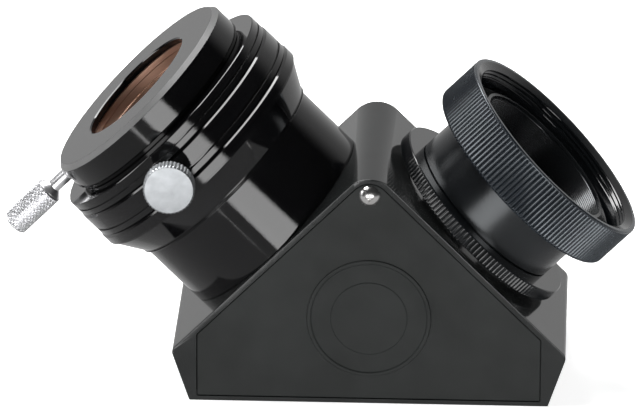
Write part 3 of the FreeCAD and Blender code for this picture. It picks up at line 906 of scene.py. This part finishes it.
def lock_ring():
    """Thin ring with straight ribs all round."""
    ribs = 140
    r = LOCK.outer
    profile = rounded([(LOCK.inner, LOCK.low, 0.2), (r - 0.25, LOCK.low, 0.05), (r, LOCK.low + 0.25),
                       (r, LOCK.high - 0.4), (r, LOCK.high - 0.25, 0.05), (r - 0.25, LOCK.high, 0.05),
                       (LOCK.inner, LOCK.high, 0.2)], 0.0, 3)
    shape = rib_shape(ribs, 0.45, LOCK.low - 0.1, LOCK.high - 0.25, 0.15, r - 0.1)
    bm = lathe(profile, RIGHT, angles=rib_angles(ribs), shape=shape)
    return new_object("lock_ring_knurled", bm, GLOSS_RIGHT)


def coupling():
    """Wide ring with straight ribs outside and the telescope's female thread inside."""
    count = 150
    r = COUPLING.outer
    low = COUPLING.low
    high = COUPLING.high
    back_bore = 23.2
    lip = COUPLING.inner
    lip_low = FLANGE[0] - 2.0
    lip_high = FLANGE[0] - 0.2
    relief = THREAD_RADIUS + 0.45
    chamfer = THREAD_RADIUS + 1.9
    start = NECK.high + 0.1
    mouth = high - 1.0
    outer = rounded([
        (back_bore, low, 0.1), (r - 0.7, low, 0.2), (r - 0.1, low + 0.6, 0.2), (r - 0.1, low + 0.75),
        (r, low + 0.9), (r, high - 0.75), (r, high - 0.5), (r, high - 0.3, 0.1), (r - 0.3, high, 0.1),
        (chamfer, high, 0.1), (THREAD_RADIUS, mouth)], 0.0, 3, closed=False)
    turns = steps_between(start + 0.1, mouth - 0.1, THREAD_PITCH / 8)
    cut_part = [(THREAD_RADIUS, z) for z in reversed(turns)]
    inner = rounded([
        (THREAD_RADIUS, start), (relief, start, 0.05), (relief, lip_high, 0.2), (lip, lip_high, 0.1),
        (lip, lip_low, 0.1), (back_bore, lip_low, 0.1), (back_bore, low + 0.1)], 0.0, 3, closed=False)
    ribs = rib_shape(count, 0.55, low + 0.35, high - 0.5, 0.25, r - 0.3)
    thread = threaded(THREAD_RADIUS, -0.42, THREAD_PITCH, start, mouth, 0.3)
    bm = lathe(outer + cut_part + inner, RIGHT, angles=rib_angles(count), shape=both(ribs, thread))
    ring = new_object("coupling_ring_knurled", bm, KNURL_BLACK)
    dress_where(ring, RIGHT, GLOSS_RIGHT, lambda radius, z: radius < chamfer - 0.05)
    return ring


# ---------------------------------------------------------------- assembly

piece(housing(), ROOT, "housing_paint", "housing")
piece(port_boss(), ROOT, "housing_paint", "housing")
piece(cover(), ROOT, "cover_paint", "front_cover")
piece(cover_boss(), ROOT, "cover_paint", "front_cover")
for hook in cover_hooks():
    piece(hook, ROOT, "cover_paint", "front_cover")
piece(cover_screw(), ROOT, "chrome", "cover_screw")
piece(barrel(), ROOT, "gloss_black", "holder_barrel")
piece(collar(), ROOT, "gloss_black", "eyepiece_holder")
piece(clamp_ring("brass_ring_2in", RING_2IN, 60), "holder_clamp", "brass", "clamp_ring_2in")
piece(disc_thumbscrew(), "holder_screw", "chrome", "thumbscrew_2in")
piece(adapter(), "adapter", "gloss_black", "adapter_body")
piece(clamp_ring("brass_ring_125", RING_125, -60), "adapter_clamp", "brass", "clamp_ring_125")
piece(long_thumbscrew(), "adapter_screw", "chrome", "thumbscrew_125")
piece(neck(), ROOT, "satin_black", "telescope_neck")
piece(lock_ring(), "lock_ring", "satin_black", "neck_lock_ring")
piece(coupling(), "coupling", "satin_black", "coupling_ring")

CARRIED_OVER = {
    "mirror_plate": (PLATE_PAINT, 0.25), "plate_screws": (BLACK_STEEL, 0.08), "mirror": (GLASS, 0.0),
    "mirror_pads": (RUBBER, 0.15), "mirror_clips": (SPRING_STEEL, 0.08), "clip_screws": (SPRING_STEEL, 0.06),
    "barrel_grub_screw": (BLACK_STEEL, 0.08), "coupling_snap_ring": (SPRING_STEEL, 0.0),
}
for node, (material, edge) in CARRIED_OVER.items():
    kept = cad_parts[node]
    dress(kept, material)
    if edge:
        add_bevel(kept, edge)


# ---------------------------------------------------------------- camera, floor and light

def towards(azimuth, elevation):
    """Direction from the object; azimuth is measured from -Y towards +X."""
    a = math.radians(azimuth)
    e = math.radians(elevation)
    return Vector((math.sin(a) * math.cos(e), -math.cos(a) * math.cos(e), math.sin(e)))


def set_in_scene(name, data, place, x, y, z):
    """New object at a place, turned to three axes."""
    obj = bpy.data.objects.new(name, data)
    obj.matrix_world = Matrix.Translation(place) @ Matrix((x, y, z)).transposed().to_4x4()
    bpy.context.scene.collection.objects.link(obj)
    return obj


def camera():
    """Long lens a little above the cover's side, rolled slightly."""
    azimuth = 2.2816
    back = towards(azimuth, 20.7009)
    turn = math.radians(azimuth)
    roll = math.radians(0.2365)
    distance = 1.8781
    right = Vector((math.cos(turn), math.sin(turn), 0))
    up = back.cross(right)
    x = right * math.cos(roll) + up * math.sin(roll)
    y = up * math.cos(roll) - right * math.sin(roll)
    data = bpy.data.cameras.new("camera")
    data.sensor_width = 36.0
    data.lens = 421.875
    data.clip_end = 100.0
    place = MIRROR_CENTRE - x * 0.01317 + y * 0.02632 + back * distance
    bpy.context.scene.camera = set_in_scene("camera", data, place, x, y, back)


def softbox(name, direction, half_width, half_height, radiance, lengthwise=(0, 0, 1)):
    """Rectangular light seen from the object in a direction; the halves are angles in degrees."""
    distance = 2.0
    data = bpy.data.lights.new(name, "AREA")
    data.shape = "RECTANGLE"
    data.size = 2 * distance * math.tan(math.radians(half_width))
    data.size_y = 2 * distance * math.tan(math.radians(half_height))
    data.energy = math.pi * radiance * data.size * data.size_y
    x = Vector(lengthwise).cross(direction).normalized()
    y = direction.cross(x)
    lamp = set_in_scene(name, data, MIRROR_CENTRE + direction * distance, x, y, direction)
    lamp.visible_camera = False


def backdrop_world():
    """White studio behind the object, dimmer overhead, dark in front, and a pale table from below."""
    world = bpy.data.worlds.new("studio")
    world.use_nodes = True
    tree = world.node_tree
    position = tree.nodes.new("ShaderNodeTexCoord").outputs["Generated"]
    split = tree.nodes.new("ShaderNodeSeparateXYZ")
    tree.links.new(position, split.inputs["Vector"])

    def ramp(axis, start, end, first, last):
        node = tree.nodes.new("ShaderNodeMapRange")
        node.interpolation_type = "SMOOTHSTEP"
        for key, value in (("From Min", start), ("From Max", end), ("To Min", first), ("To Max", last)):
            node.inputs[key].default_value = value
        tree.links.new(split.outputs[axis], node.inputs["Value"])
        return node.outputs["Result"]

    def joined(operation, a, b):
        node = tree.nodes.new("ShaderNodeMath")
        node.operation = operation
        tree.links.new(a, node.inputs[0])
        tree.links.new(b, node.inputs[1])
        return node.outputs["Value"]

    back = joined("MULTIPLY", ramp("Y", 0.25, 0.65, 0.03, 0.62), ramp("Z", 0.05, 0.4, 1.0, 0.75))
    strength = joined("MAXIMUM", back, ramp("Z", 0.0, -0.25, 0.0, 0.42))
    tree.links.new(strength, tree.nodes["Background"].inputs["Strength"])
    tree.nodes["Background"].inputs["Color"].default_value = (1.0, 1.0, 1.0, 1.0)
    bpy.context.scene.world = world


def pale_material(name, grey, glow):
    """Even pale surface that glows a little."""
    colour = (grey, grey, grey)
    m = Nodes(name, colour, 0.0, 0.9)
    m.colours(m.noise(3.0), 0.2, 0.8, tuple(0.985 * c for c in colour), colour)
    m.set(m.shader, **{"Emission Color": (*colour, 1), "Emission Strength": glow})
    return m.material


def floor_and_sky():
    """Floor and a white sphere round it all, neither of which the part's surfaces reflect."""
    bm = bmesh.new()
    bmesh.ops.create_grid(bm, x_segments=4, y_segments=4, size=5.0)
    floor = linked("studio_floor", bm)
    floor.data.materials.append(pale_material("floor_white", 0.95, 0.9))
    floor.visible_glossy = False
    floor.visible_shadow = False
    bm = bmesh.new()
    bmesh.ops.create_icosphere(bm, subdivisions=4, radius=9.0)
    sky = linked("studio_sweep", bm)
    sky.data.materials.append(pale_material("sweep_white", 0.97, 1.0))
    for attribute in ("visible_glossy", "visible_diffuse", "visible_shadow", "visible_transmission"):
        setattr(sky, attribute, False)


bpy.context.scene.view_settings.view_transform = "Standard"
camera()
backdrop_world()
floor_and_sky()
softbox("front_right", towards(17.5, -1.5), 12.5, 11.5, 6.0)
softbox("front_left", towards(-17.5, -5.0), 12.5, 15.0, 4.5)
softbox("left_side", towards(-83.5, 13.6), 7.0, 12.0, 5.0)
softbox("overhead_strip", Vector((-0.30, 0.24, 0.81)).normalized(), 12.0, 27.0, 11.0,
        (0.44, 0.76, -0.06))
